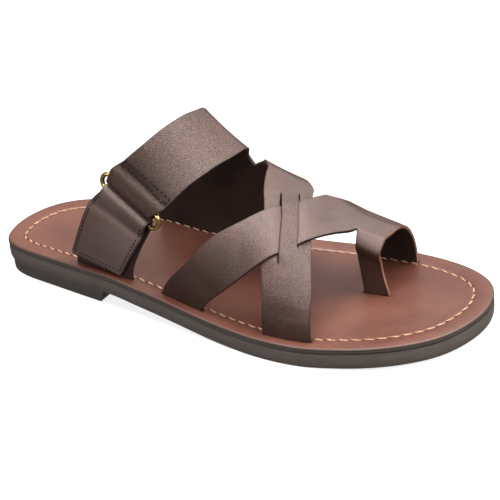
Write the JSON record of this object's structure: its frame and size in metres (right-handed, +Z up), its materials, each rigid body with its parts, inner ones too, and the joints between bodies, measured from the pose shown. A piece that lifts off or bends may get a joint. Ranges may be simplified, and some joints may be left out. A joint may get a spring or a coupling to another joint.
{
  "type": "leather toe-loop slipper",
  "caption": "Right-foot leather slipper: flat slotted footbed on a low-heeled sole, woven cross straps, toe loop, and a side strap folded over a brass ring.",
  "frame": {"origin": "under the middle of the sole, on the floor: centre of the bounding box's bottom face", "axes": "+X to the toes, +Y to the medial (inner) side of this right foot, +Z up"},
  "size_m": [0.285, 0.107, 0.1018],
  "materials": {
    "insole_leather": "satin chestnut leather board with cream lockstitch",
    "outsole_brown": "matt dark brown painted edge",
    "heel_brown": "matt dark brown",
    "strap_leather": "smooth dark brown leather, fine grain on the instep strap",
    "ring_brass": "polished brass"
  },
  "bodies": {
    "root": {"insole": "insole_leather", "outsole": "outsole_brown", "heel_lift": "heel_brown", "upper": "strap_leather", "anchor_strap": "strap_leather", "ring": "ring_brass"}
  },
  "joints": []
}
